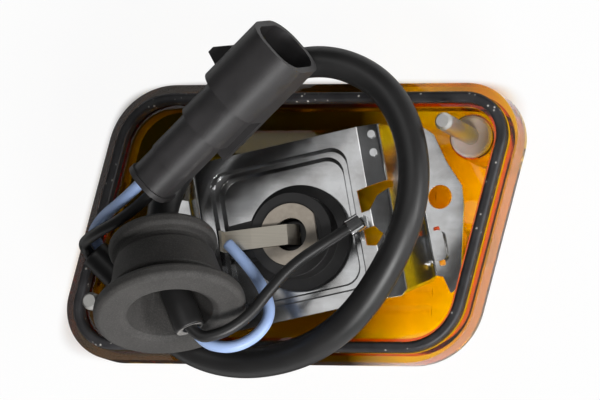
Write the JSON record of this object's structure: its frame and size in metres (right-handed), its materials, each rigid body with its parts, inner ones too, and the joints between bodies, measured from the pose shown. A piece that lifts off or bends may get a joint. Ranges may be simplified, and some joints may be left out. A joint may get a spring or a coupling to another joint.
{
  "type": "vehicle side indicator lamp",
  "caption": "Amber side indicator lamp with a slanted moulded lens, rim gasket, pressed bulb carrier, fixing screws and a sleeved lead through a panel grommet to a plug.",
  "frame": {"origin": "centre of the lens front face, under the middle of the lamp as it lies face down", "axes": "+X along the long edges of the lens, +Y across it, +Z out of the back, along the fixing screws"},
  "size_m": [0.1052, 0.0772, 0.0672],
  "materials": {
    "amber_lens": "clear amber acrylic, polished",
    "gasket_rubber": "matt black rubber",
    "zinc_plate": "bright zinc plated sheet steel",
    "holder_phenolic": "black moulding, satin",
    "shell_steel": "zinc plated",
    "fibre_ring": "beige fibre board",
    "contact_metal": "tinned spring bronze",
    "cap_brass": "bright brass",
    "cap_insulator": "black vitrite",
    "solder": "tin lead solder",
    "bulb_glass": "clear glass",
    "tungsten": "drawn tungsten wire",
    "screw_steel": "bright zinc plated",
    "nylon": "translucent natural nylon",
    "grommet_rubber": "matt black rubber, dusty",
    "connector_plastic": "black moulding, satin",
    "pin_metal": "tinned brass",
    "seal_rubber": "matt black rubber",
    "sheath_pvc": "black flexible sleeve, satin",
    "wire_blue": "pale blue insulation",
    "wire_black": "black insulation"
  },
  "bodies": {
    "root": {"lens": "amber_lens", "perimeter_gasket": "gasket_rubber", "bracket": "zinc_plate", "socket_body": "holder_phenolic", "socket_shell": "shell_steel", "contact_washer": "fibre_ring", "contact_strip": "contact_metal", "bulb_cap": "cap_brass", "bulb_insulator": "cap_insulator", "bulb_contact": "solder", "bulb_glass": "bulb_glass", "bulb_filament": "tungsten", "mounting_screws": "screw_steel", "screw_washers": "nylon", "grommet": "grommet_rubber", "connector_housing": "connector_plastic", "connector_rear_cap": "connector_plastic", "connector_pins": "pin_metal", "wire_seals": "seal_rubber", "cable_sheath": "sheath_pvc", "wire_blue_lamp": "wire_blue", "wire_black_lamp": "wire_black", "wire_blue_plug": "wire_blue", "wire_black_plug": "wire_black"}
  },
  "joints": []
}
